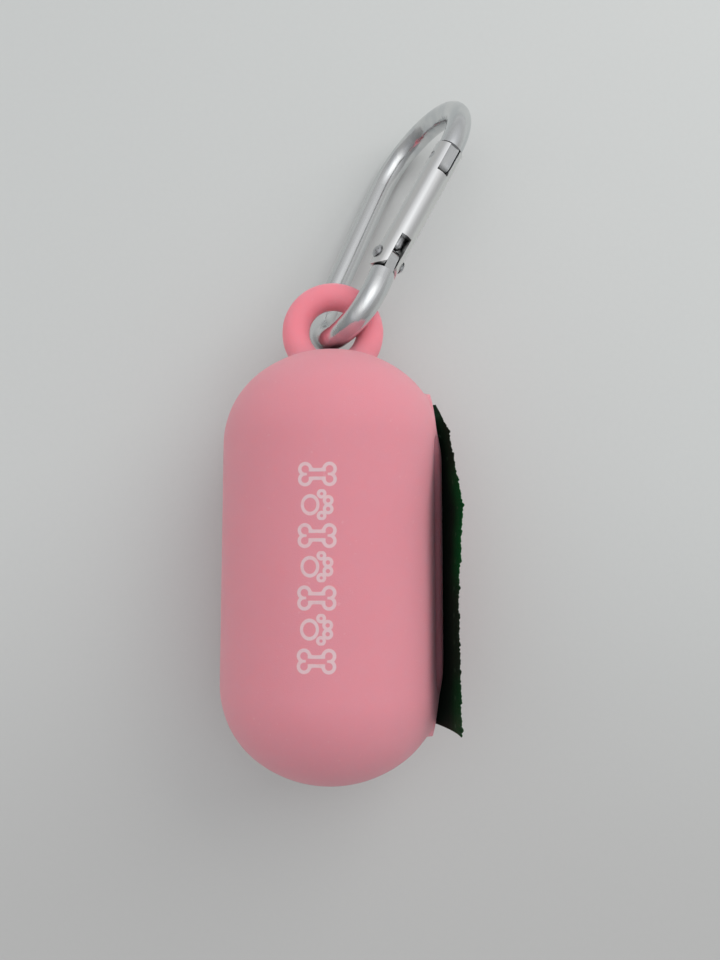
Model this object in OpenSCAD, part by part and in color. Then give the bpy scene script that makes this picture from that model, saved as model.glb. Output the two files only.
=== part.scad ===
// Dog waste bag dispenser: a one-piece silicone capsule with a slit for the bags, a roll of
// bags on a card core inside it, and a sprung key-ring clip through its moulded loop.
// It lies on a table as it would be put down: +Z up, the capsule's length along Y with the
// loop at the +Y end, and the slit facing +X. The origin is on the table, under the middle
// of the whole outline. All sizes are in millimetres.

/* [Bag roll] */
// Width of the bags, which is the length of the roll
bag_width = 60; // [50:0.5:75]
// Diameter of the wound roll
roll_d = 31; // [26:0.5:36]
// Outside diameter of the card core
core_d = 13; // [10:0.5:16]
// Thickness of the card
core_wall = 1; // [0.6:0.1:1.6]
// How much shorter the core is than the bags at each end
core_recess = 0.5; // [0.2:0.1:2]
// Thickness of the folded film
film_t = 0.3; // [0.2:0.05:0.4]
// How high the leading bag stands up outside the slit
tail_rise = 14.6; // [6:0.1:18]
// How far it leans out over that height
tail_lean = 1.4; // [0.5:0.1:4]
// Length over which its edge comes down to its far corner
tail_slope = 19; // [8:0.5:30]

/* [Casing] */
// Thickness of the silicone
wall = 2.2; // [1.6:0.1:2.6]
// Room between the roll and the capsule's straight side, all round
roll_room = 2.8; // [2:0.1:4]
// Room between the roll's rims and the inside of the shoulders
rim_room = 0.4; // [0.3:0.05:1]
// Gap that the loose roll keeps to the shoulders that it lies on
roll_gap = 0.25; // [0.1:0.05:0.3]
// How far from the capsule's axis the shoulder arcs are centred
shoulder_inset = 3.3; // [2:0.1:5]
// How much longer the crown's radius is than the capsule's own radius
crown_flatness = 2.1; // [1.5:0.1:4]

/* [Loop] */
// Thickness of the loop's ring
loop_wire_d = 5.3; // [4.5:0.1:6]
// Diameter of the loop's eye
loop_eye_d = 9; // [8.4:0.1:12]
// Height of the eye's centre above the crown
loop_rise = 3.8; // [3.4:0.1:6]

/* [Slit and lips] */
// How much further than the bags the slit runs at each end
slit_room = 1; // [0.6:0.1:2]
// Gap between the two lips
slit_gap = 0.9; // [0.8:0.1:1.6]
// Diameter of the relief hole at each end of the slit
relief_d = 1.8; // [1.6:0.1:2.6]
// Width of the raised lip on each side of the slit
lip_width = 3.2; // [2.6:0.1:3.4]
// How far the lips stand out past the capsule's side
lip_proud = 0.2; // [0.1:0.05:1]
// Length at each end over which the lips bend back
lip_bend_run = 15; // [10:0.5:18]
// Radius in which the lips bend back towards the ends
lip_bend_r = 70; // [55:1:90]
// How far each lip runs on past the slit
lip_overrun = 1; // [0.5:0.1:1.5]
// Depth of the shallow valley beside each lip
valley_depth = 0.5; // [0.2:0.05:0.9]
// Radius of the valley's hollow
valley_r = 2.5; // [2:0.1:4]
// Angle round the capsule from the slit to the valley
valley_angle = 16; // [15:0.5:20]

/* [Clip frame] */
// Diameter of the clip's bar
clip_bar_d = 4.8; // [4:0.1:5]
// Bend radius of the clip's narrow end, to the middle of the bar
narrow_r = 9.7; // [9:0.1:12]
// Length of the short bar from the narrow bend to the hinge
rod_length = 5.5; // [5:0.1:9]
// Thickness of the flat tongue that the gate hinges on
tongue_t = 2; // [1.6:0.1:2.2]
// Height of the tongue's neck
tongue_h = 3.8; // [3:0.1:4.2]
// Thickness of the flat nose that the gate latches on
nose_t = 2.2; // [1.8:0.1:2.4]
// Height of the nose
nose_h = 3.8; // [3.2:0.1:4.2]

/* [Clip gate] */
// Diameter of the gate
gate_d = 5.5; // [5.2:0.1:6]
// Angle between the gate and the clip's spine
gate_angle = 13.3; // [10:0.1:16]
// Length of the gate from its rivet to its latch pin
gate_length = 21.8; // [20:0.1:26]
// How far the gate runs on past the latch pin
gate_overrun = 3; // [2.6:0.1:3.4]
// Depth of the hinge slot beyond the rivet
hinge_slot_depth = 4.8; // [4.4:0.1:6]
// Diameter of the rivet
rivet_d = 2; // [1.6:0.1:2.2]
// Diameter of the rivet's domed heads
rivet_head_d = 2.6; // [2.4:0.1:3]
// Diameter of the latch pin
latch_pin_d = 1.6; // [1.2:0.1:1.8]
// Diameter of the plunger that the spring pushes at the tongue
plunger_d = 2.2; // [1.8:0.1:2.4]
// Depth of the spring's bore beyond the hinge slot
bore_depth = 12.2; // [10:0.1:13]
// Number of turns in the gate's spring
spring_turns = 9; // [6:1:11]
// Thickness of the spring's wire
spring_wire = 0.35; // [0.25:0.05:0.4]

/* [Clip as it lies] */
// How far the clip is swung to the side of the capsule's length
clip_swing = 21.7; // [0:0.1:60]
// How far the clip leans over about its spine
clip_lean = 29.7; // [15:0.1:40]
// How far the clip has slid in the loop's eye towards the capsule
clip_slip = 0.9; // [0:0.1:1]

/* [Hidden] */
$fn = 64;

// Room beside a film, for it to turn into the slit, for a shaft in its bore, and between flat faces
film_gap = 0.15;
turn_gap = 0.1;
shaft_gap = 0.05;
face_gap = 0.1;
// Length by which a cut runs on past the face it starts from
past = 1;

// The capsule is as wide and as long as the roll needs: the shoulders just clear the roll's rims
roll_r = roll_d / 2;
casing_r = roll_r + roll_room + wall;
shoulder_r = casing_r - shoulder_inset;
crown_r = casing_r + crown_flatness;
centre_gap = sqrt(pow(crown_r - shoulder_r, 2) - pow(shoulder_inset, 2));
rim_reach = sqrt(pow(shoulder_r - wall, 2) - pow(roll_r + rim_room - shoulder_inset, 2));
shoulder_start = bag_width / 2 - rim_reach;
crown_centre = shoulder_start - centre_gap;
casing_length = 2 * (crown_centre + crown_r);

eye_y = casing_length / 2 + loop_rise;
loop_r = (loop_eye_d + loop_wire_d) / 2;

lips_width = slit_gap + 2 * lip_width;
lip_top_r = casing_r + lip_proud;
slit_length = bag_width + 2 * slit_room;
lip_reach = slit_length / 2 + lip_overrun;
lip_straight = 2 * (lip_reach - lip_bend_run);
valley_centre_r = casing_r - valley_depth + valley_r;

roll_z = roll_gap - rim_room;
// The film leaves the roll in a straight line that just misses it, and soon turns towards the slit.
// Its edges are drawn in where it passes the shoulders.
lead_r = roll_r + film_gap + film_t / 2;
lead_width = bag_width - 2 * rim_room;
turn_x = lead_r + turn_gap;
turn_to_axis = norm([turn_x, roll_z]);
lead_length = sqrt(pow(turn_to_axis, 2) - pow(lead_r, 2));
lead_angle = 180 - atan2(roll_z, turn_x) - asin(lead_r / turn_to_axis);
tail_start = casing_r - wall / 2;
tail_foot = casing_r + lip_proud + film_t / 2 + face_gap;
tail_end = tail_foot + tail_lean + film_t;

bar_r = clip_bar_d / 2;
gate_r = gate_d / 2;
along_gate = [cos(gate_angle), sin(gate_angle)];
hinge = [rod_length, 2 * narrow_r];
gate_end = gate_length + gate_overrun;
wide_start = hinge + (gate_end - 0.5) * along_gate;
wide_r = wide_start.y / (1 + cos(gate_angle));
wide_centre = wide_start + wide_r * [sin(gate_angle), -cos(gate_angle)];
hinge_shoulder = gate_r + 0.45;
cheek_gap = 0.15;
nose_gap = 0.4;
hook_r = latch_pin_d / 2 + 0.2;
hook_tip = hook_r + 1.3;
cam_r = 2;
cam_offset = 1;
cam_angle = -75;
plunger_tip = cam_offset * cos(cam_angle) + sqrt(pow(cam_r, 2) - pow(cam_offset * sin(cam_angle), 2))
    + face_gap;
plunger_length = 5.4;
bore_d = plunger_d + 2 * 0.08;
bore_end = hinge_slot_depth + bore_depth;

// The clip's far end comes down on the table: how high its lowest point is at a given dip
function far_end_height(dip) =
    -(wide_centre.x + narrow_r) * sin(dip)
    + (wide_centre.y - narrow_r) * cos(dip) * cos(clip_lean)
    - wide_r * sqrt(pow(sin(dip), 2) + pow(cos(dip) * cos(clip_lean), 2))
    - bar_r + casing_r;
function settled_dip(low, high, steps = 30) =
    steps == 0 ? (low + high) / 2
    : far_end_height((low + high) / 2) > 0 ? settled_dip((low + high) / 2, high, steps - 1)
    : settled_dip(low, (low + high) / 2, steps - 1);
clip_dip = settled_dip(-30, 60);

// The clip's own directions in the capsule's frame: along its spine, and towards its gate
spine_dir = [
    sin(clip_swing) * cos(clip_dip),
    cos(clip_swing) * cos(clip_dip),
    -sin(clip_dip)
];
gate_dir = cos(clip_lean) * [
        sin(clip_dip) * sin(clip_swing),
        sin(clip_dip) * cos(clip_swing),
        cos(clip_dip)
    ] + sin(clip_lean) * [cos(clip_swing), -sin(clip_swing), 0];
wide_from_eye = (wide_centre.x + narrow_r) * spine_dir + (wide_centre.y - narrow_r) * gate_dir;
clip_reach_x = wide_from_eye.x + wide_r * norm([spine_dir.x, gate_dir.x]) + bar_r;
clip_reach_y = eye_y - clip_slip + wide_from_eye.y + wide_r * norm([spine_dir.y, gate_dir.y]) + bar_r;
origin_x = (max(clip_reach_x, tail_end) - casing_r) / 2;
origin_y = (clip_reach_y - casing_length / 2) / 2;

// Puts a piece made about the capsule's centre where the capsule lies on the table
module on_table() {
    translate([-origin_x, -origin_y, casing_r]) children();
}

// Half of the capsule's section, drawn in by inset: the side wall, then two arcs to each crown
module capsule_section(inset) {
    wedge = 2 * crown_r * [shoulder_inset, centre_gap] / norm([shoulder_inset, centre_gap]);
    for (end = [0, 1]) {
        mirror([0, end]) {
            square([casing_r - inset, shoulder_start]);
            intersection() {
                translate([shoulder_inset, shoulder_start]) circle(shoulder_r - inset);
                square([casing_r, casing_length]);
            }
            intersection() {
                translate([0, crown_centre]) circle(crown_r - inset);
                polygon([
                    [0, crown_centre],
                    [wedge.x, crown_centre + wedge.y],
                    [0, crown_centre + wedge.y]
                ]);
            }
        }
    }
}

module capsule(inset) {
    rotate([-90, 0, 0]) rotate_extrude($fn = 96) capsule_section(inset);
}

// The two lips before the slit parts them: a raised pad, straight along the side and bending
// back at both ends to follow the shoulders
module lips() {
    intersection() {
        rotate([-90, 0, 0]) rotate_extrude($fn = 96) {
            for (end = [0, 1]) {
                mirror([0, end]) {
                    square([lip_top_r, lip_straight / 2]);
                    intersection() {
                        translate([lip_top_r - lip_bend_r, lip_straight / 2]) circle(lip_bend_r, $fn = 360);
                        square([lip_top_r, lip_reach]);
                    }
                }
            }
        }
        translate([casing_r / 2, 0, 0]) rotate([90, 0, 90]) linear_extrude(casing_r) {
            square([2 * lip_reach - lips_width, lips_width], center = true);
            for (side = [-1, 1]) {
                translate([side * (lip_reach - lips_width / 2), 0]) circle(d = lips_width, $fn = 48);
            }
        }
    }
}

// The hollow beside a lip, sunk into the capsule's side and running out at the shoulders
module valley() {
    rotate([0, -valley_angle, 0]) {
        translate([valley_centre_r, -shoulder_start, 0]) {
            rotate([-90, 0, 0]) cylinder(r = valley_r, h = 2 * shoulder_start, $fn = 48);
            sphere(valley_r, $fn = 48);
            translate([0, 2 * shoulder_start, 0]) sphere(valley_r, $fn = 48);
        }
    }
}

module slit() {
    deep = casing_r - shoulder_inset;
    translate([deep / 2, -slit_length / 2, -slit_gap / 2]) cube([casing_r, slit_length, slit_gap]);
    for (side = [-1, 1]) {
        translate([deep / 2, side * slit_length / 2, 0]) {
            rotate([0, 90, 0]) cylinder(d = relief_d, h = casing_r, $fn = 24);
        }
    }
}

module casing() {
    color("lightpink") on_table() difference() {
        union() {
            difference() {
                capsule(0);
                for (side = [0, 1]) mirror([0, 0, side]) valley();
            }
            translate([0, eye_y, 0]) rotate_extrude($fn = 72) translate([loop_r, 0]) circle(d = loop_wire_d, $fn = 40);
            lips();
        }
        capsule(wall);
        slit();
    }
}

// A tube along the roll's axis
module roll_tube(outer_d, inner_d, length) {
    translate([0, -length / 2, roll_z]) rotate([-90, 0, 0]) difference() {
        cylinder(d = outer_d, h = length, $fn = 72);
        translate([0, 0, -past]) cylinder(d = inner_d, h = length + 2 * past, $fn = 72);
    }
}

module roll_core() {
    color("tan") on_table() roll_tube(core_d, core_d - 2 * core_wall, bag_width - 2 * core_recess);
}

module bag_roll() {
    color("darkgreen") on_table() roll_tube(roll_d, core_d, bag_width);
}

// The film's free run from the roll to its turn, and on into the slit
module bag_lead() {
    color("darkgreen") on_table() translate([0, lead_width / 2, 0]) rotate([90, 0, 0]) {
        linear_extrude(lead_width) {
            translate([turn_x, 0]) {
                rotate(lead_angle) translate([0, -film_t / 2]) square([lead_length, film_t]);
                circle(film_t / 2, $fn = 24);
                translate([0, -film_t / 2]) square([tail_start - face_gap - turn_x, film_t]);
            }
        }
    }
}

// The leading bag's edge outside the lips. It comes straight out of the slit and stands up beside the
// capsule, and its torn edge comes down to the far corner.
module bag_tail() {
    length = norm([tail_lean, tail_rise]);
    color("forestgreen") on_table() intersection() {
        translate([0, bag_width / 2, 0]) rotate([90, 0, 0]) linear_extrude(bag_width) {
            translate([tail_start, -film_t / 2]) square([tail_foot - tail_start, film_t]);
            translate([tail_foot, 0]) {
                circle(film_t / 2, $fn = 24);
                rotate(-atan2(tail_lean, tail_rise)) translate([-film_t / 2, 0]) square([film_t, length]);
            }
        }
        rotate([90, 0, 90]) linear_extrude(2 * casing_r) polygon([
            [-bag_width / 2 - past, -past],
            [bag_width / 2 + past, -past],
            [bag_width / 2 + past, 0],
            [bag_width / 2, film_t],
            [bag_width / 2 - 0.3 * tail_slope, 0.4 * tail_rise],
            [bag_width / 2 - tail_slope, tail_rise],
            [-bag_width / 2 - past, tail_rise]
        ]);
    }
}

// Puts a piece drawn in the clip's own plane where the clip lies, threaded through the eye
module on_clip() {
    on_table() translate([0, eye_y - clip_slip, 0]) rotate([0, 0, -clip_swing]) rotate([-clip_dip, 0, 0]) {
        rotate([90, 0, 90]) rotate([clip_lean, 0, 0]) translate([narrow_r, -narrow_r, 0]) children();
    }
}

// The same for a piece drawn along the gate from its hinge
module on_gate() {
    on_clip() translate([hinge.x, hinge.y, 0]) rotate([0, 0, gate_angle]) children();
}

module bar(length) {
    rotate([0, 90, 0]) cylinder(r = bar_r, h = length, $fn = 40);
}

// The bar bent in a circle, from one angle through a sweep
module bend(radius, from, sweep) {
    rotate([0, 0, from]) rotate_extrude(angle = sweep, $fn = 120) translate([radius, 0]) circle(bar_r, $fn = 40);
}

// A flat part of the clip, centred on the clip's plane
module flat(thickness) {
    translate([0, 0, -thickness / 2]) linear_extrude(thickness) children();
}

// The tongue: a neck to the rivet, round about it, with a cam that lifts the plunger
module tongue() {
    flat(tongue_t) difference() {
        union() {
            rotate(-gate_angle) {
                translate([-hinge_shoulder - past, -tongue_h / 2]) square([hinge_shoulder + past, tongue_h]);
            }
            circle(cam_r, $fn = 48);
            rotate(cam_angle) translate([cam_offset, 0]) circle(cam_r, $fn = 48);
        }
        circle(d = rivet_d, $fn = 32);
    }
}

// The nose: a flat hook that goes into the gate and holds its latch pin in a notch
module nose() {
    flat(nose_t) difference() {
        union() {
            translate([gate_length - hook_tip + nose_h / 2, -nose_h / 2]) {
                square([gate_overrun + nose_gap + hook_tip - nose_h / 2 + past, nose_h]);
            }
            intersection() {
                translate([gate_length - hook_tip + nose_h / 2, 0]) circle(d = nose_h, $fn = 48);
                translate([gate_length - hook_tip, -nose_h / 2]) square(nose_h);
            }
        }
        translate([gate_length, 0]) {
            circle(hook_r, $fn = 32);
            translate([-hook_r, -nose_h]) square([2 * hook_r, nose_h]);
        }
    }
}

module clip_frame() {
    color("silver") {
        on_clip() {
            bar(wide_centre.x);
            translate([0, narrow_r, 0]) bend(narrow_r, 90, 180);
            translate([0, 2 * narrow_r, 0]) bar(rod_length - hinge_shoulder);
            difference() {
                translate([wide_centre.x, wide_centre.y, 0]) bend(wide_r, -90, 180 + gate_angle);
                translate([hinge.x, hinge.y, 0]) rotate([0, 0, gate_angle]) {
                    translate([gate_length, -gate_d, -gate_d]) cube([gate_overrun + nose_gap, 2 * gate_d, 2 * gate_d]);
                }
            }
        }
        on_gate() tongue();
        on_gate() nose();
    }
}

module clip_gate() {
    color("gainsboro") on_gate() difference() {
        intersection() {
            translate([-gate_r, 0, 0]) rotate([0, 90, 0]) cylinder(r = gate_r, h = gate_r + gate_end, $fn = 48);
            union() {
                translate([0, 0, -gate_r]) cylinder(r = gate_r, h = gate_d, $fn = 48);
                translate([0, -gate_r, -gate_r]) cube([gate_end, gate_d, gate_d]);
            }
        }
        translate([-gate_d, -gate_d, -tongue_t / 2 - cheek_gap]) {
            cube([gate_d + hinge_slot_depth, 2 * gate_d, tongue_t + 2 * cheek_gap]);
        }
        translate([gate_length - hook_tip - nose_gap, -gate_d, -nose_t / 2 - cheek_gap]) {
            cube([gate_d + hook_tip, 2 * gate_d, nose_t + 2 * cheek_gap]);
        }
        translate([hinge_slot_depth - past, 0, 0]) rotate([0, 90, 0]) cylinder(d = bore_d, h = bore_depth + past, $fn = 32);
        translate([0, 0, -gate_d]) cylinder(d = rivet_d + 2 * shaft_gap, h = 2 * gate_d, $fn = 32);
        translate([gate_length, 0, -gate_d]) cylinder(d = latch_pin_d, h = 2 * gate_d, $fn = 32);
    }
}

module gate_rivet() {
    head_rise = rivet_head_d / 4;
    head_r = (pow(rivet_head_d / 2, 2) + pow(head_rise, 2)) / (2 * head_rise);
    seat = gate_r + face_gap;
    color("dimgray") on_gate() {
        translate([0, 0, -seat]) cylinder(d = rivet_d, h = 2 * seat, $fn = 32);
        for (side = [0, 1]) {
            mirror([0, 0, side]) translate([0, 0, seat]) intersection() {
                translate([0, 0, head_rise - head_r]) sphere(head_r, $fn = 48);
                cylinder(d = rivet_head_d, h = rivet_head_d, $fn = 48);
            }
        }
    }
}

module latch_pin() {
    length = gate_d - 2 * face_gap;
    color("gray") on_gate() translate([gate_length, 0, -length / 2]) cylinder(d = latch_pin_d, h = length, $fn = 32);
}

// A round-nosed pin that slides in the gate's bore and rests on the tongue's cam
module gate_plunger() {
    color("darkgray") on_gate() translate([plunger_tip + plunger_d / 2, 0, 0]) {
        sphere(d = plunger_d, $fn = 32);
        rotate([0, 90, 0]) cylinder(d = plunger_d, h = plunger_length - plunger_d / 2, $fn = 32);
    }
}

// Rings of points round a coil's wire, and the skin that joins them into one tube
spring_sides = 6;
spring_steps = 8;
function coil_ring(turn, mean_r, rise, wire_r) = [
    for (side = [0 : spring_sides - 1])
        let (spoke = 360 * side / spring_sides, out = mean_r + wire_r * cos(spoke))
            [rise * turn + wire_r * sin(spoke), out * cos(360 * turn), out * sin(360 * turn)]
];

module coil(turns, mean_r, rise, wire_r) {
    rings = spring_steps * turns;
    points = [for (ring = [0 : rings]) each coil_ring(ring / spring_steps, mean_r, rise, wire_r)];
    skin = [
        for (ring = [0 : rings - 1])
            for (side = [0 : spring_sides - 1])
                let (here = ring * spring_sides, next = (side + 1) % spring_sides)
                    each [
                        [here + side, here + next, here + spring_sides + next],
                        [here + side, here + spring_sides + next, here + spring_sides + side]
                    ]
    ];
    first = [for (side = [spring_sides - 1 : -1 : 0]) side];
    last = [for (side = [0 : spring_sides - 1]) rings * spring_sides + side];
    polyhedron(points, concat(skin, [first, last]));
}

module gate_spring() {
    seat = plunger_tip + plunger_length + face_gap + spring_wire / 2;
    room = bore_end - face_gap - spring_wire / 2 - seat;
    color("slategray") on_gate() translate([seat, 0, 0]) {
        coil(spring_turns, bore_d / 2 - face_gap - spring_wire / 2, room / spring_turns, spring_wire / 2);
    }
}

casing();
roll_core();
bag_roll();
bag_lead();
bag_tail();
clip_frame();
clip_gate();
gate_rivet();
latch_pin();
gate_spring();
gate_plunger();
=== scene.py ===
"""A silicone bag dispenser with a key-ring clip, lying on a pale table.

The exact parts are loaded as a fixed frame. This script gives them their finishes, lays the film of
the leading bag through the slit, winds the roll, and sets up the table, the light and the camera.
"""

import math

import bmesh
import bpy
from bpy.props import FloatProperty, FloatVectorProperty, PointerProperty
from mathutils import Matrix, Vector


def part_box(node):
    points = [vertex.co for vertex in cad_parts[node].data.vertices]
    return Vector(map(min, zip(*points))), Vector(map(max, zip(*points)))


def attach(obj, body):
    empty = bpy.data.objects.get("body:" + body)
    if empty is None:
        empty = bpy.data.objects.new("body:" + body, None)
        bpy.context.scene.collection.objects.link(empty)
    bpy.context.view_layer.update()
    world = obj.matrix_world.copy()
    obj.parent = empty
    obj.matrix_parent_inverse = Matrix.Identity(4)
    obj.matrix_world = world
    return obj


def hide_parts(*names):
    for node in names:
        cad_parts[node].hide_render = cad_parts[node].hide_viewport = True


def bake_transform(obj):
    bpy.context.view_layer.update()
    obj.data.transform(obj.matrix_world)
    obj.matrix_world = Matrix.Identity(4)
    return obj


bl_info = {
    "name": "Bag dispenser and clip",
    "version": (1, 0, 0),
    "blender": (4, 5, 0),
    "location": "3D View > Sidebar > Bag dispenser",
    "description": "Dresses the bag dispenser, its roll of bags and its clip",
    "category": "Object",
}

MM = 0.001
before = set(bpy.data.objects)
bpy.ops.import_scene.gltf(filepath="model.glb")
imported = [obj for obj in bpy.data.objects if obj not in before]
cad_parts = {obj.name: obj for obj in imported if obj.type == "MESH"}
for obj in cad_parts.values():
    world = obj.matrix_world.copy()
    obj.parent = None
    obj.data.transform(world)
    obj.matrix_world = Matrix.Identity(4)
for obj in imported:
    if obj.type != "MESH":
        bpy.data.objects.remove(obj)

# Points that are nearer to each other than this many metres are one
SAME_PLACE = 1e-6

# The size of the grid that the capsule's skin is moulded on, and how often it is smoothed
SKIN_GRAIN = 0.4 * MM
SKIN_ROUNDS = 8

# The capsule in its own radii: a place between its wall's two faces, half of the line on its axis that
# its inside is told from, and where the loop begins
WALL_MIDDLE = 0.92
LINE_HALF = 0.5
LOOP_BEGINS = 1.88

# The hollows beside the lips: how much deeper they go, in mm, and where they end, where they are deepest
# and where the lip ends, in degrees round the capsule from the slit
VALLEY_SUNK = 0.6
VALLEY_END = 42
VALLEY_TURN = 16.5
LIP_TURN = 10.5

# Where those hollows run out and where the lips' ends are drawn in no more, in mm from the middle, and
# the lengths over which they fade
VALLEY_REACH = 30
VALLEY_FADE = 12
LIP_REACH = 34
LIP_FADE = 2

# The lips in mm: how proud they are, how far they run straight, and their bend
LIP_PROUD = 0.2
LIP_STRAIGHT = 17.0
LIP_BEND = 70.0

# How much further the lips' ends draw in, from where and over what length, in mm
LIP_DRAWN = 0.45
DRAWN_FROM = 19.5
DRAWN_OVER = 5.5

# Where the loop's painted glow, a stronger pink, comes in along the capsule, and the part beside the
# film that gets painted shade, in mm
LOOP_GLOW = (38.0, 44.0)
FILM_SIDE = (13.0, 17.0)
FILM_RUN = (33.0, 28.0)

# The printed column in mm: its middle and its far end from the capsule's middle, the pitch and number of
# its bones and paws, and their size as a share of how they are drawn
PRINT_MIDDLE = -1.78
PRINT_TOP = 17.1
PRINT_PITCH = 5.06
PRINT_COUNT = 7
PRINT_SCALE = 0.86

# How the clip's bar and its gate dip and turn, in degrees
BAR_WAY = (13.2, 21.7)
GATE_WAY = (1.6, 28.2)

# The layers of film that show on the roll's ends, and the steps that the roll is spun in
LAYERS = 28
ROLL_STEPS = 96

# The torn edge of the leading bag, in mm from the capsule's middle: along it, up, and out from it
TORN_EDGE = (
    (-29.0, 14.8, 22.15), (-22.0, 14.7, 22.25), (-14.0, 14.1, 21.95), (-2.2, 14.4, 22.15),
    (5.5, 15.0, 22.4), (9.7, 15.3, 22.9), (14.6, 13.2, 22.2), (19.1, 9.3, 21.75),
    (24.2, 5.7, 21.5), (27.9, 0.5, 20.8), (29.9, 0.3, 19.7),
)  # fmt: skip
TOOTH_PITCH = 4.7
TOOTH_START = 9.7

# The film's last lap, in degrees up from the slit: where it leaves the roll, and where its turn begins
LAP_FROM = 57
LAP_TO = 4

# The film in mm: half its width on the roll, its ends at the slit, and how strongly it curves upwards
ROLL_HALF = 29.6
SLIT_ENDS = (-29.7, 29.9)
FILM_CURVE = 1.7

# The film's grid: steps through the slit, steps up to the torn edge, and rows along it
SLIT_STEPS = 8
EDGE_STEPS = 28
FILM_ROWS = 420

# The table's size in metres
TABLE_SIZE = 6.0

# The room's light from straight below, where 0 is, to straight above, where 1 is: place, glow and blue
ROOM_GLOW = (
    (0.0, 0.5, 1.0), (0.5, 0.48, 1.0), (0.64, 0.4, 1.0),
    (0.82, 0.52, 1.02), (0.93, 0.88, 1.02), (1.0, 1.7, 1.0),
)  # fmt: skip

# How much more light comes from the right than from the left, and from the far side than from the near
ROOM_RIGHT = 0.2
ROOM_FAR = 0.4

# The two soft lights in metres and watts: a window on the right and a pale wall on the left
WINDOW = {"at": (0.26, 0.22, 0.29), "size": (0.36, 0.32), "watts": 0.74}
WALL = {"at": (-0.36, 0.0, 0.10), "size": (0.30, 0.18), "watts": 0.18}

# The camera: its place in mm from the capsule's middle, its tilt in degrees, its sensor and lens in mm
CAMERA_AT = (5.25, 1.423, 151.378)
CAMERA_TILT = 5.3
SENSOR = 36.0
LENS = 30.0

# The capsule's middle, which is the roll's middle along it, and the roll's axis and sizes
roll_low, roll_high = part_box("bag_roll")
core_low, core_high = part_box("roll_core")
casing_low, casing_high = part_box("casing")
CAPSULE_R = (casing_high.z - casing_low.z) / 2
CAPSULE = Vector((casing_low.x + CAPSULE_R, (roll_low.y + roll_high.y) / 2, casing_low.z + CAPSULE_R))
ROLL_AXIS = Vector((CAPSULE.x, CAPSULE.y, (roll_low.z + roll_high.z) / 2))
ROLL_R = (roll_high.z - roll_low.z) / 2
CORE_R = (core_high.z - core_low.z) / 2


def eased(share):
    """Turns an even share from 0 to 1 into one that starts and ends softly."""
    share = min(max(share, 0.0), 1.0)
    return share * share * (3 - 2 * share)


def drawn_in(along):
    """How much further the lips' ends draw in at a place along the capsule, in mm."""
    return LIP_DRAWN * eased((abs(along) - DRAWN_FROM) / DRAWN_OVER)


def lips_back(along):
    """How far the lips lie back at a place along the capsule, in mm."""
    return max(abs(along) - LIP_STRAIGHT, 0.0) ** 2 / (2 * LIP_BEND) + drawn_in(along)


def linear(level):
    """One part of a colour as a screen shows it, from 0 to 255, as Blender keeps it."""
    return ((level / 255 + 0.055) / 1.055) ** 2.4 if level > 10.3 else level / 255 / 12.92


def shade(red, green, blue):
    """A colour as a screen shows it, as the linear colour that Blender keeps."""
    return (linear(red), linear(green), linear(blue), 1.0)


class Value:
    """A socket in a finish, so that maths on it reads as maths."""

    def __init__(self, finish, socket):
        self.finish = finish
        self.socket = socket

    def maths(self, operation, *others):
        return self.finish.node("ShaderNodeMath", {"operation": operation}, [self, *others])

    def before(self, operation, first):
        return self.finish.node("ShaderNodeMath", {"operation": operation}, [first, self])

    def __add__(self, other):
        return self.maths("ADD", other)

    def __radd__(self, other):
        return self.before("ADD", other)

    def __sub__(self, other):
        return self.maths("SUBTRACT", other)

    def __rsub__(self, other):
        return self.before("SUBTRACT", other)

    def __mul__(self, other):
        return self.maths("MULTIPLY", other)

    def __rmul__(self, other):
        return self.before("MULTIPLY", other)

    def __truediv__(self, other):
        return self.maths("DIVIDE", other)

    def __rtruediv__(self, other):
        return self.before("DIVIDE", other)

    def __abs__(self):
        return self.maths("ABSOLUTE")

    def least(self, other):
        return self.maths("MINIMUM", other)

    def most(self, other):
        return self.maths("MAXIMUM", other)

    def repeated(self, pitch):
        """Counts from 0 up to pitch, again and again."""
        return self.maths("FLOORED_MODULO", pitch)

    def to_and_fro(self, reach):
        """Counts from 0 up to reach and back."""
        return self.maths("PINGPONG", reach)


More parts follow.
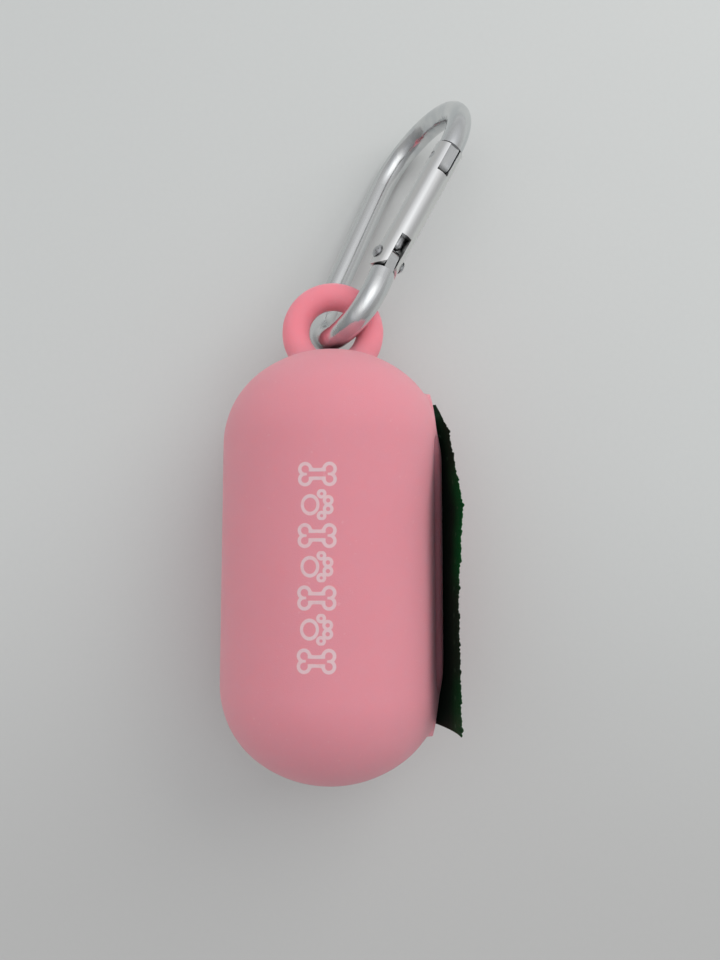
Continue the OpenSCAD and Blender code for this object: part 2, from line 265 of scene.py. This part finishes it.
class Finish:
    """A material, or the room's light, that is put together node by node."""

    def __init__(self, name, kept_in="materials"):
        self.material = getattr(bpy.data, kept_in).new(name)
        self.material.use_nodes = True
        self.tree = self.material.node_tree
        self.tree.nodes.clear()

    def node(self, kind, settings=(), inputs=(), output=0):
        """Adds any node: its settings first, then the values or links of its sockets."""
        made = self.tree.nodes.new(kind)
        for name, value in dict(settings).items():
            if name == "stops":
                stops = made.color_ramp.elements
                while len(stops) < len(value):
                    stops.new(1.0)
                for stop, (place, colour) in zip(stops, value):
                    stop.position = place
                    stop.color = colour
            else:
                setattr(made, name, value)
        for key, value in inputs.items() if isinstance(inputs, dict) else enumerate(inputs):
            if isinstance(value, Value):
                self.tree.links.new(value.socket, made.inputs[key])
            else:
                made.inputs[key].default_value = value
        return Value(self, made.outputs[output]) if len(made.outputs) else None

    def place(self):
        """Where a point is on the object, in metres."""
        return self.node("ShaderNodeTexCoord", output="Object")

    def axes(self, vector):
        """A vector's three numbers."""
        split = self.node("ShaderNodeSeparateXYZ", (), [vector])
        return [Value(self, split.socket.node.outputs[i]) for i in range(3)]

    def attribute(self, name):
        """A number that the piece keeps at each of its points."""
        return self.node("ShaderNodeAttribute", {"attribute_name": name}, (), "Fac")

    def far_from(self, x, y):
        """How far x and y are from 0 together."""
        return (x * x + y * y).maths("SQRT")

    def noise(self, vector, scale, detail=2.0, roughness=0.5):
        """Soft random spots. scale is in spots for each metre."""
        inputs = {"Vector": vector, "Scale": scale, "Detail": detail, "Roughness": roughness}
        return self.node("ShaderNodeTexNoise", {"noise_dimensions": "3D"}, inputs)

    def from_middle(self, vector):
        """How far a point is from the capsule's middle along each axis, in mm."""
        inputs = {"Vector": vector, "Location": -CAPSULE / MM, "Scale": (1 / MM, 1 / MM, 1 / MM)}
        return self.axes(self.node("ShaderNodeMapping", {"vector_type": "POINT"}, inputs))

    def stretched(self, vector, scale):
        """The same place on a grid that is stretched."""
        return self.node("ShaderNodeMapping", (), {"Vector": vector, "Scale": scale})

    def between(self, value, low, high):
        """0 where value is under low, 1 where it is over high, and smooth in between."""
        inputs = {"Value": value, "From Min": low, "From Max": high, "To Min": 0.0, "To Max": 1.0}
        return self.node("ShaderNodeMapRange", {"interpolation_type": "SMOOTHSTEP"}, inputs)

    def painted_corner_shade(self, base, dark, reach, low, high):
        """A colour with painted shade: it turns dark where other walls stand close by."""
        open_share = self.node("ShaderNodeAmbientOcclusion", {"samples": 8}, {"Distance": reach}, 1)
        return self.mixed(self.between(open_share, low, high), dark, base)

    def mixed(self, share, first, second):
        """One colour turned into another by share."""
        return self.node("ShaderNodeMix", {"data_type": "RGBA"}, {0: share, 6: first, 7: second}, 2)

    def bumps(self, height, distance):
        """The surface's slope where height rises by distance in metres."""
        inputs = {"Strength": 1.0, "Distance": distance, "Height": height}
        return self.node("ShaderNodeBump", (), inputs)

    def surface(self, **inputs):
        """The finished surface. Names stand for the shader's sockets, with _ for a space."""
        named = {name.replace("_", " "): value for name, value in inputs.items()}
        shader = self.node("ShaderNodeBsdfPrincipled", (), named)
        self.node("ShaderNodeOutputMaterial", (), [shader])
        return self.material


def chosen():
    """The sizes and colours picked in the sidebar."""
    return bpy.context.scene.bag_dispenser


def nothing_selected():
    """Leaves edit mode and deselects everything."""
    if bpy.context.object and bpy.context.object.mode != "OBJECT":
        bpy.ops.object.mode_set(mode="OBJECT")
    bpy.ops.object.select_all(action="DESELECT")


def named(name):
    """Names the piece just added."""
    piece = bpy.context.active_object
    piece.name = name
    piece.data.name = name
    return piece


def only(piece):
    """Selects one piece alone."""
    nothing_selected()
    piece.select_set(True)
    bpy.context.view_layer.objects.active = piece


def settle(piece):
    """Puts a piece's place and turn into its mesh."""
    only(piece)
    bpy.ops.object.transform_apply(location=True, rotation=True, scale=True)


def apply_modifier(piece, kind, **settings):
    """Adds a modifier and applies it."""
    only(piece)
    bpy.ops.object.modifier_add(type=kind)
    modifier = piece.modifiers[-1]
    for name, value in settings.items():
        setattr(modifier, name, value)
    bpy.ops.object.modifier_apply(modifier=modifier.name)


def smooth(piece, degrees):
    """Smooth shading that keeps the edges that are sharper than this."""
    only(piece)
    bpy.ops.object.shade_smooth_by_angle(angle=math.radians(degrees))


def dress(piece, material):
    """Gives a piece one finish all over."""
    if not piece.material_slots:
        piece.data.materials.append(material)
    for slot in piece.material_slots:
        slot.material = material


def bone_outline(f, x, y):
    """How far a point is from a bone's outline, in mm. The bone lies along x."""
    end = f.far_from(abs(x) - 2.35, abs(y) - 0.98) - 1.05
    shaft = (abs(y) - 0.82).most(abs(x) - 2.3)
    return end.maths("SMOOTH_MIN", shaft, 0.6)


def paw_outline(f, x, y):
    """How far a point is from a paw's outline, in mm. Its toes point along x."""
    pad = (f.far_from((x + 1.35) / 1.5, y / 1.7) - 1.0) * 1.55
    inner_toe = f.far_from(x - 2.1, abs(y) - 0.82) - 0.72
    outer_toe = f.far_from(x - 0.85, abs(y) - 2.1) - 0.62
    return pad.least(inner_toe.least(outer_toe))


def printed(f, x, y, z):
    """1 on the printed column of bones and paws on top of the capsule, 0 beside it."""
    column_length = PRINT_PITCH * PRINT_COUNT
    along = y - (PRINT_TOP - column_length)
    local = (along.repeated(PRINT_PITCH) - PRINT_PITCH / 2) / PRINT_SCALE
    across = (x - PRINT_MIDDLE) / PRINT_SCALE
    is_paw = along.repeated(2 * PRINT_PITCH).maths("GREATER_THAN", PRINT_PITCH)
    bone = f.between(abs(bone_outline(f, across, local)), 0.42, 0.24)
    paw = f.between(abs(paw_outline(f, across, local)), 0.4, 0.22)
    motif = bone * (1.0 - is_paw) + paw * is_paw
    column = along.maths("GREATER_THAN", 0.0) * along.maths("LESS_THAN", column_length)
    on_top = z.maths("GREATER_THAN", 0.5 * CAPSULE_R / MM)
    return motif * column * on_top


def silicone(colours):
    """Matt moulded silicone: faint clouds of tone, a dusty sheen, fine grain and the odd speck, with a
    painted glow on the loop and painted shade beside the film.
    """
    f = Finish("matt_silicone")
    place = f.place()
    x, y, z = f.from_middle(place)
    clouds = f.noise(place, 45.0, 3.0)
    grain = f.noise(place, 5200.0, 2.0)
    dust = f.between(f.noise(place, 900.0, 2.0, 0.6), 0.68, 0.75)
    base = f.mixed(clouds, colours.silicone_deep, colours.silicone)
    # Painted glow: the loop's stronger pink stands in for light passing through its thin silicone
    base = f.mixed(f.between(y, *LOOP_GLOW), base, colours.silicone_loop_glow)
    base = f.mixed(dust * 0.12, base, (0.80, 0.62, 0.64, 1.0))
    # Painted shade beside the film: the colour turns darker where other walls stand close by
    painted_shade_mask = f.between(x, *FILM_SIDE) * f.between(abs(y), *FILM_RUN)
    painted_shade = f.painted_corner_shade(base, colours.silicone_painted_shade, 0.014, 0.2, 0.55)
    base = f.mixed(painted_shade_mask, base, painted_shade)
    ink = printed(f, x, y, z)
    worn = f.between(f.noise(place, 700.0, 2.0), 0.25, 0.5) * 0.2 + 0.8
    base = f.mixed(ink * worn, base, colours.print_ink)
    slope = f.bumps(grain + clouds * 0.4 + ink * 0.5, 0.00003)
    return f.surface(
        Base_Color=base,
        Roughness=0.54 + clouds * 0.12 + dust * 0.1 - ink * 0.06,
        IOR=1.41,
        Normal=slope,
        Subsurface_Weight=0.6,
        Subsurface_Radius=(1.0, 0.4, 0.35),
        Subsurface_Scale=0.004,
        Sheen_Weight=0.1,
        Sheen_Roughness=0.6,
        Sheen_Tint=(1.0, 0.85, 0.87, 1.0),
    )


def clip_metal(colours, name, way, satin):
    """Polished aluminium with soft streaks along a bar, and painted shade in its slots and corners. way
    is how it dips and turns, satin 0 to 1.
    """
    f = Finish(name)
    place = f.place()
    way = (math.radians(-way[0]), 0.0, math.radians(-way[1]))
    inputs = {"Vector": place, "Rotation": way, "Scale": (1.0, 40.0, 1.0)}
    along = f.node("ShaderNodeMapping", {"vector_type": "TEXTURE"}, inputs)
    lines = f.noise(along, 2400.0, 2.0, 0.5)
    streaks = f.between(f.noise(along, 520.0, 1.0, 0.4), 0.3, 0.7)
    slope = f.bumps(lines * 0.3 + streaks, 0.00004)
    base = f.mixed(streaks * 0.5 + (0.5 - satin * 0.45), colours.metal, colours.metal_deep)
    return f.surface(
        # Painted shade: near black in the clip's slots and corners, where other walls stand close
        Base_Color=f.painted_corner_shade(base, (0.012, 0.012, 0.012, 1.0), 0.0022, 0.1, 0.6),
        Metallic=1.0,
        Roughness=0.14 + satin * 0.12 + lines * 0.08,
        Normal=slope,
    )


def pin_steel(colours):
    """Turned steel, a little darker than the clip."""
    f = Finish("turned_steel")
    place = f.place()
    rings = f.noise(f.stretched(place, (1.0, 1.0, 0.2)), 3000.0)
    return f.surface(
        Base_Color=f.mixed(rings, (0.30, 0.30, 0.31, 1.0), colours.metal_deep),
        Metallic=1.0,
        Roughness=0.22 + rings * 0.15,
        Normal=f.bumps(rings, 0.00002),
    )


def card():
    """Brown card wound into a tube: a spiral seam and short fibres."""
    f = Finish("wound_card")
    place = f.place()
    x, y = f.axes(place)[:2]
    fibres = f.noise(f.stretched(place, (1.0, 0.35, 1.0)), 2400.0, 4.0, 0.65)
    seam = f.between((y + x * 0.5).to_and_fro(0.009), 0.0, 0.0006)
    base = f.mixed(fibres, shade(148, 126, 98), shade(186, 166, 136))
    base = f.mixed(seam, shade(112, 94, 72), base)
    return f.surface(
        Base_Color=base,
        Roughness=0.82 + fibres * 0.1,
        Normal=f.bumps(fibres + seam, 0.00005),
    )


def film(colours):
    """Thin bag film: near black below, with painted light in green patches where light comes through its
    torn edge.
    """
    f = Finish("green_film")
    out = f.attribute("to_edge")
    along = f.attribute("along")
    place = f.place()
    creases = f.noise(f.stretched(place, (1.0, 0.25, 1.0)), 260.0, 3.0, 0.55)
    near_edge = f.between(out + creases * 3.0, 11.5, 3.5)
    main_patch = f.between(along, -7.0, 1.0) * f.between(along, 19.0, 12.0)
    end_patch = f.between(along, -17.5, -22.0)
    # Painted light: the green patches near the torn edge stand in for light coming through the film
    painted_light_patches = main_patch + end_patch * 0.5
    # Painted highlights at the perforation slits below the torn edge
    tick_place = (along - TOOTH_START).to_and_fro(TOOTH_PITCH / 2)
    tick = f.between(tick_place, 0.42, 0.22) * f.between(abs(out - 5.0), 0.45, 0.2)
    base = f.mixed(near_edge * (painted_light_patches * 0.85 + 0.15), colours.film_deep, colours.film)
    base = f.mixed(tick * 0.6, base, colours.film_tick_highlight)
    return f.surface(
        Base_Color=base,
        Roughness=0.48 + creases * 0.2,
        Specular_IOR_Level=0.05,
        Normal=f.bumps(creases, 0.0002),
    )


def wound_film(colours):
    """The same film wound up: dark, with the pale lines of its layers on the ends."""
    f = Finish("wound_film")
    place = f.place()
    creases = f.noise(f.stretched(place, (1.0, 0.15, 1.0)), 500.0, 3.0)
    return f.surface(
        Base_Color=f.mixed(creases, colours.film_deep, shade(30, 66, 44)),
        Roughness=0.32 + creases * 0.2,
        Normal=f.bumps(creases, 0.0001),
    )


class CasingLook(bpy.types.PropertyGroup):
    """Colours and sizes a maker would change."""

    silicone: FloatVectorProperty(
        name="Silicone",
        description="Colour of the capsule",
        default=shade(221, 145, 156),
        size=4,
        min=0.0,
        max=1.0,
        subtype="COLOR",
    )
    silicone_deep: FloatVectorProperty(
        name="Silicone, deeper",
        description="Colour of the faint clouds in the silicone",
        default=shade(217, 140, 152),
        size=4,
        min=0.0,
        max=1.0,
        subtype="COLOR",
    )
    # Painted glow for the loop, standing in for light through the thin silicone
    silicone_loop_glow: FloatVectorProperty(
        name="Silicone, loop",
        description="Colour of the loop, a little stronger than the capsule",
        default=shade(232, 138, 151),
        size=4,
        min=0.0,
        max=1.0,
        subtype="COLOR",
    )
    # Painted shade for the silicone in the hollow beside the film
    silicone_painted_shade: FloatVectorProperty(
        name="Silicone, by the film",
        description="Colour that the dark film gives the silicone in the hollow beside it",
        default=shade(150, 92, 105),
        size=4,
        min=0.0,
        max=1.0,
        subtype="COLOR",
    )
    print_ink: FloatVectorProperty(
        name="Print",
        description="Colour of the printed bones and paws",
        default=shade(220, 190, 195),
        size=4,
        min=0.0,
        max=1.0,
        subtype="COLOR",
    )
    metal: FloatVectorProperty(
        name="Clip metal",
        description="Colour of the polished clip",
        default=(0.77, 0.77, 0.755, 1.0),
        size=4,
        min=0.0,
        max=1.0,
        subtype="COLOR",
    )
    metal_deep: FloatVectorProperty(
        name="Clip metal, deeper",
        description="Colour of the duller patches on the clip",
        default=(0.60, 0.62, 0.63, 1.0),
        size=4,
        min=0.0,
        max=1.0,
        subtype="COLOR",
    )
    # Painted light: the film's green where light comes through it
    film: FloatVectorProperty(
        name="Film, lit",
        description="Colour of the bag film where light comes through",
        default=shade(7, 80, 37),
        size=4,
        min=0.0,
        max=1.0,
        subtype="COLOR",
    )
    film_deep: FloatVectorProperty(
        name="Film, folded",
        description="Colour of the bag film where it lies folded",
        default=shade(25, 36, 30),
        size=4,
        min=0.0,
        max=1.0,
        subtype="COLOR",
    )
    # Painted highlight for the marks at the perforation slits
    film_tick_highlight: FloatVectorProperty(
        name="Film, perforation",
        description="Colour of the small marks below the torn edge",
        default=shade(70, 96, 76),
        size=4,
        min=0.0,
        max=1.0,
        subtype="COLOR",
    )
    film_thickness: FloatProperty(
        name="Film thickness",
        description="Thickness of the folded film",
        default=0.12 * MM,
        min=0.02 * MM,
        max=0.4 * MM,
        subtype="DISTANCE",
        unit="LENGTH",
    )
    tooth: FloatProperty(
        name="Tear tooth",
        description="How far a tooth of the torn edge stands out",
        default=0.35 * MM,
        min=0.0,
        max=1.0 * MM,
        subtype="DISTANCE",
        unit="LENGTH",
    )


class DISPENSER_OT_casing(bpy.types.Operator):
    """Mould the capsule's skin, with soft edges at its lips and loop"""

    bl_idname = "dispenser.casing"
    bl_label = "Capsule"

    def execute(self, context):
        piece = bpy.data.objects.new("capsule_skin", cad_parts["casing"].data.copy())
        context.collection.objects.link(piece)
        only(piece)
        bpy.ops.object.mode_set(mode="EDIT")
        bpy.ops.mesh.select_all(action="SELECT")
        bpy.ops.mesh.remove_doubles(threshold=SAME_PLACE)
        bpy.ops.object.mode_set(mode="OBJECT")
        apply_modifier(piece, "REMESH", mode="VOXEL", voxel_size=SKIN_GRAIN)
        self.sink_the_valleys(piece)
        apply_modifier(piece, "SMOOTH", factor=0.5, iterations=SKIN_ROUNDS)
        self.thin_out_the_inside(piece)
        bpy.ops.object.shade_smooth()
        dress(piece, silicone(chosen()))
        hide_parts("casing")
        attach(piece, "casing")
        return {"FINISHED"}

    def sink_the_valleys(self, piece):
        """A broad hollow beside each lip, steep against the lip, and the lips' ends drawn in."""
        for vertex in piece.data.vertices:
            x, y, z = (vertex.co - CAPSULE) / MM
            out = math.hypot(x, z)
            if x < 0 or abs(y) > LIP_REACH or out < WALL_MIDDLE * CAPSULE_R / MM:
                continue
            turn = math.degrees(math.atan2(abs(z), x))
            side = eased((VALLEY_END - turn) / (VALLEY_END - VALLEY_TURN)) ** 2
            bank = eased((turn - LIP_TURN) / (VALLEY_TURN - LIP_TURN))
            sunk = VALLEY_SUNK * side * bank * eased((VALLEY_REACH - abs(y)) / VALLEY_FADE)
            drawn = drawn_in(y) * (1 - bank) * eased((LIP_REACH - abs(y)) / LIP_FADE)
            shrink = 1 - (sunk + drawn) / out
            vertex.co.x = CAPSULE.x + x * shrink * MM
            vertex.co.z = CAPSULE.z + z * shrink * MM
        piece.data.update()

    def thin_out_the_inside(self, piece):
        """Fewer faces on the wall inside, which nobody sees."""
        bpy.ops.object.mode_set(mode="EDIT")
        bpy.ops.mesh.select_mode(type="FACE")
        bpy.ops.mesh.select_all(action="DESELECT")
        mesh = bmesh.from_edit_mesh(piece.data)
        line_half = LINE_HALF * CAPSULE_R
        for face in mesh.faces:
            from_middle = face.calc_center_median() - CAPSULE
            if from_middle.y > LOOP_BEGINS * CAPSULE_R:
                continue
            from_middle.y -= min(max(from_middle.y, -line_half), line_half)
            inward = face.normal.dot(from_middle.normalized()) < -0.3
            face.select_set(inward and from_middle.xz.length < WALL_MIDDLE * CAPSULE_R)
        bmesh.update_edit_mesh(piece.data)
        bpy.ops.mesh.decimate(ratio=0.15)
        bpy.ops.object.mode_set(mode="OBJECT")


def torn_edge(along):
    """How high and how far out the torn edge is at a place along the capsule, in mm."""
    for low, high in zip(TORN_EDGE, TORN_EDGE[1:]):
        if along <= high[0]:
            break
    share = min(max((along - low[0]) / (high[0] - low[0]), 0.0), 1.0)
    up, out = (a + (b - a) * share for a, b in zip(low[1:], high[1:]))
    return up, out


def tear(along):
    """How far the torn edge stands off its line: a tooth at each cut, and ragged between."""
    place = (along - TOOTH_START + TOOTH_PITCH / 2) % TOOTH_PITCH - TOOTH_PITCH / 2
    point = max(0.0, 1 - abs(place) / (0.7 if place > 0 else 0.35))
    ragged = 0.22 * math.sin(along * 5.9 + 2.0 * math.sin(along * 1.3))
    ragged += 0.16 * math.sin(along * 10.7 + 1.0)
    return point + ragged


def film_on_roll(lap_r, axis_z):
    """The film's way across the capsule, as x and z in mm: down round the roll, then turned outwards."""
    way = []
    for turn in range(LAP_FROM, LAP_TO, -5):
        angle = math.radians(turn)
        way.append((lap_r * math.cos(angle), axis_z + lap_r * math.sin(angle)))
    return way + [(lap_r + 0.07, 0.35), (lap_r + 0.13, 0.1), (lap_r + 0.3, 0.0)]


class DISPENSER_OT_leading_bag(bpy.types.Operator):
    """Lead the first bag's film from the roll through the slit, and stand it up beside the lips"""

    bl_idname = "dispenser.leading_bag"
    bl_label = "Leading bag"

    def execute(self, context):
        look = chosen()
        tooth = look.tooth / MM
        on_roll = film_on_roll(ROLL_R / MM + 0.3, (ROLL_AXIS.z - CAPSULE.z) / MM)
        columns = len(on_roll) - 1 + SLIT_STEPS + EDGE_STEPS
        nothing_selected()
        bpy.ops.mesh.primitive_grid_add(x_subdivisions=columns, y_subdivisions=FILM_ROWS, size=2)
        piece = named("leading_bag_film")
        to_edge = piece.data.attributes.new("to_edge", "FLOAT", "POINT")
        along_edge = piece.data.attributes.new("along", "FLOAT", "POINT")
        for vertex in piece.data.vertices:
            step = round((vertex.co.x + 1) / 2 * columns) - len(on_roll) + 1
            share = (vertex.co.y + 1) / 2
            roll_y = ROLL_HALF * (2 * share - 1)
            slit_y = SLIT_ENDS[0] + (SLIT_ENDS[1] - SLIT_ENDS[0]) * share
            edge_y = TORN_EDGE[0][0] + (TORN_EDGE[-1][0] - TORN_EDGE[0][0]) * share
            height, reach = torn_edge(edge_y)
            foot = CAPSULE_R / MM + LIP_PROUD + 0.05 - lips_back(slit_y)
            inwards = on_roll[min(step - 1, -1) + len(on_roll)] if step <= 0 else on_roll[-1]
            if step <= SLIT_STEPS:
                through = max(step, 0) / SLIT_STEPS
                x = inwards[0] + (foot - inwards[0]) * through
                z = inwards[1]
                y = roll_y + (slit_y - roll_y) * through
                left = height + foot - x
            else:
                up = ((step - SLIT_STEPS) / EDGE_STEPS) ** 1.3
                torn = tear(edge_y) * tooth * min(height / 3.0, 1.0) * up**6
                waves = 0.10 * math.sin(edge_y * 0.37 + 0.5) + 0.05 * math.sin(edge_y * 1.1)
                x = foot + (reach - foot) * (1 - (1 - up) ** FILM_CURVE)
                x += torn * 0.6 + up * waves
                z = height * up + torn
                y = slit_y + (edge_y - slit_y) * up
                left = height * (1 - up)
            vertex.co = CAPSULE + Vector((x, y, z)) * MM
            to_edge.data[vertex.index].value = left
            along_edge.data[vertex.index].value = edge_y
        piece.data.update()
        apply_modifier(piece, "SOLIDIFY", thickness=look.film_thickness, offset=0.0)
        smooth(piece, 50)
        settle(piece)
        dress(piece, film(look))
        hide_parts("bag_tail", "bag_lead")
        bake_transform(piece)
        return {"FINISHED"}


class DISPENSER_OT_roll(bpy.types.Operator):
    """Wind the roll of bags on its card core"""

    bl_idname = "dispenser.roll"
    bl_label = "Roll of bags"

    def execute(self, context):
        look = chosen()
        nothing_selected()
        bpy.ops.mesh.primitive_plane_add(size=1, location=(0, 0, 0))
        piece = named("wound_bags")
        piece.scale = (ROLL_R - CORE_R, roll_high.y - roll_low.y, 1)
        piece.location = ROLL_AXIS + Vector(((ROLL_R + CORE_R) / 2, 0, 0))
        settle(piece)
        bpy.ops.object.mode_set(mode="EDIT")
        bpy.ops.mesh.select_mode(type="EDGE")
        bpy.ops.mesh.select_all(action="DESELECT")
        mesh = bmesh.from_edit_mesh(piece.data)
        for edge in mesh.edges:
            edge.select_set(abs(edge.verts[0].co.y - edge.verts[1].co.y) < SAME_PLACE)
        bmesh.update_edit_mesh(piece.data)
        bpy.ops.mesh.subdivide(number_cuts=LAYERS - 1)
        bpy.ops.mesh.select_all(action="SELECT")
        bpy.ops.mesh.delete(type="ONLY_FACE")
        mesh = bmesh.from_edit_mesh(piece.data)
        for vertex in mesh.verts:
            layer = round((vertex.co.x - ROLL_AXIS.x - CORE_R) / (ROLL_R - CORE_R) * LAYERS)
            if 0 < layer < LAYERS:
                inward = 0.22 * MM * (layer % 2) + 0.10 * MM * (1 + math.sin(layer * 2.4))
                vertex.co.y -= inward if vertex.co.y > ROLL_AXIS.y else -inward
        bmesh.update_edit_mesh(piece.data)
        bpy.ops.mesh.select_all(action="SELECT")
        bpy.ops.mesh.spin(steps=ROLL_STEPS, angle=2 * math.pi, center=ROLL_AXIS, axis=(0, 1, 0))
        bpy.ops.mesh.select_all(action="SELECT")
        bpy.ops.mesh.remove_doubles(threshold=SAME_PLACE)
        bpy.ops.mesh.normals_make_consistent(inside=False)
        bpy.ops.object.mode_set(mode="OBJECT")
        smooth(piece, 30)
        dress(piece, wound_film(look))
        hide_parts("bag_roll")
        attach(piece, "roll")
        dress(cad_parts["roll_core"], card())
        return {"FINISHED"}


class DISPENSER_OT_clip(bpy.types.Operator):
    """Polish the clip and its small parts"""

    bl_idname = "dispenser.clip"
    bl_label = "Clip"

    def execute(self, context):
        look = chosen()
        steel = pin_steel(look)
        dress(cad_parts["clip_frame"], clip_metal(look, "polished_bar", BAR_WAY, 0.0))
        dress(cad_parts["clip_gate"], clip_metal(look, "satin_gate", GATE_WAY, 1.0))
        for node in ("gate_rivet", "latch_pin", "gate_spring", "gate_plunger"):
            dress(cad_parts[node], steel)
        return {"FINISHED"}


class DISPENSER_OT_stage(bpy.types.Operator):
    """Set up the table, the light and the camera"""

    bl_idname = "dispenser.stage"
    bl_label = "Table, light and camera"

    def execute(self, context):
        scene = context.scene
        nothing_selected()
        bpy.ops.mesh.primitive_plane_add(size=TABLE_SIZE, location=(0, 0, 0))
        table = named("table")
        f = Finish("pale_table")
        place = f.place()
        along = f.axes(place)[1]
        grain = f.noise(place, 900.0, 3.0)
        # Painted shade: the table is darker towards the near side, standing in for the light falling off
        # there
        top = f.mixed(f.between(along, -0.11, 0.0), shade(185, 186, 185), shade(199, 202, 201))
        top = f.mixed(grain * 0.06, top, shade(150, 150, 150))
        dress(table, f.surface(Base_Color=top, Roughness=0.75))

        # The room: bright overhead, darker towards the walls, and brighter on the right and the far side
        f = Finish("room", "worlds")
        x, y, z = f.axes(f.node("ShaderNodeTexCoord", output="Generated"))
        stops = [(height, (glow, glow, glow * blue, 1.0)) for height, glow, blue in ROOM_GLOW]
        room = f.node("ShaderNodeValToRGB", {"stops": stops}, [z * 0.5 + 0.5])
        strength = 1.0 + x * ROOM_RIGHT + y * ROOM_FAR
        f.node("ShaderNodeOutputWorld", (), [f.node("ShaderNodeBackground", (), [room, strength])])
        scene.world = f.material

        for name, light in (("window", WINDOW), ("pale_wall", WALL)):
            nothing_selected()
            bpy.ops.object.light_add(type="AREA", location=light["at"])
            lamp = named(name)
            lamp.data.shape = "RECTANGLE"
            lamp.data.size, lamp.data.size_y = light["size"]
            lamp.data.energy = light["watts"]
            lamp.data.color = (1.0, 0.985, 0.96)
            lamp.visible_glossy = False
            lamp.rotation_euler = (CAPSULE - lamp.location).to_track_quat("-Z", "Y").to_euler()

        nothing_selected()
        bpy.ops.object.camera_add(location=CAPSULE + Vector(CAMERA_AT) * MM)
        camera = named("camera")
        camera.rotation_euler = (math.radians(CAMERA_TILT), 0.0, 0.0)
        camera.data.sensor_fit = "VERTICAL"
        camera.data.sensor_height = SENSOR
        camera.data.sensor_width = SENSOR
        camera.data.lens = LENS
        camera.data.clip_start = 0.01
        camera.data.clip_end = 20.0
        scene.camera = camera
        scene.view_settings.view_transform = "Standard"
        return {"FINISHED"}


class DISPENSER_PT_sidebar(bpy.types.Panel):
    """The pieces and the looks, listed in the order they are made"""

    bl_idname = "DISPENSER_PT_sidebar"
    bl_label = "Bag dispenser"
    bl_space_type = "VIEW_3D"
    bl_region_type = "UI"
    bl_category = "Bag dispenser"

    def draw(self, context):
        look = context.scene.bag_dispenser
        for name in CasingLook.__annotations__:
            self.layout.prop(look, name)
        for operator in STEPS:
            self.layout.operator(operator.bl_idname)


STEPS = (
    DISPENSER_OT_stage,
    DISPENSER_OT_casing,
    DISPENSER_OT_roll,
    DISPENSER_OT_leading_bag,
    DISPENSER_OT_clip,
)
CLASSES = (CasingLook, *STEPS, DISPENSER_PT_sidebar)


def register():
    for each in CLASSES:
        bpy.utils.register_class(each)
    bpy.types.Scene.bag_dispenser = PointerProperty(type=CasingLook)


def unregister():
    del bpy.types.Scene.bag_dispenser
    for each in reversed(CLASSES):
        bpy.utils.unregister_class(each)


def main():
    register()
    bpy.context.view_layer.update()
    bpy.ops.dispenser.stage()
    bpy.ops.dispenser.casing()
    bpy.ops.dispenser.roll()
    bpy.ops.dispenser.leading_bag()
    bpy.ops.dispenser.clip()


if __name__ == "__main__":
    main()
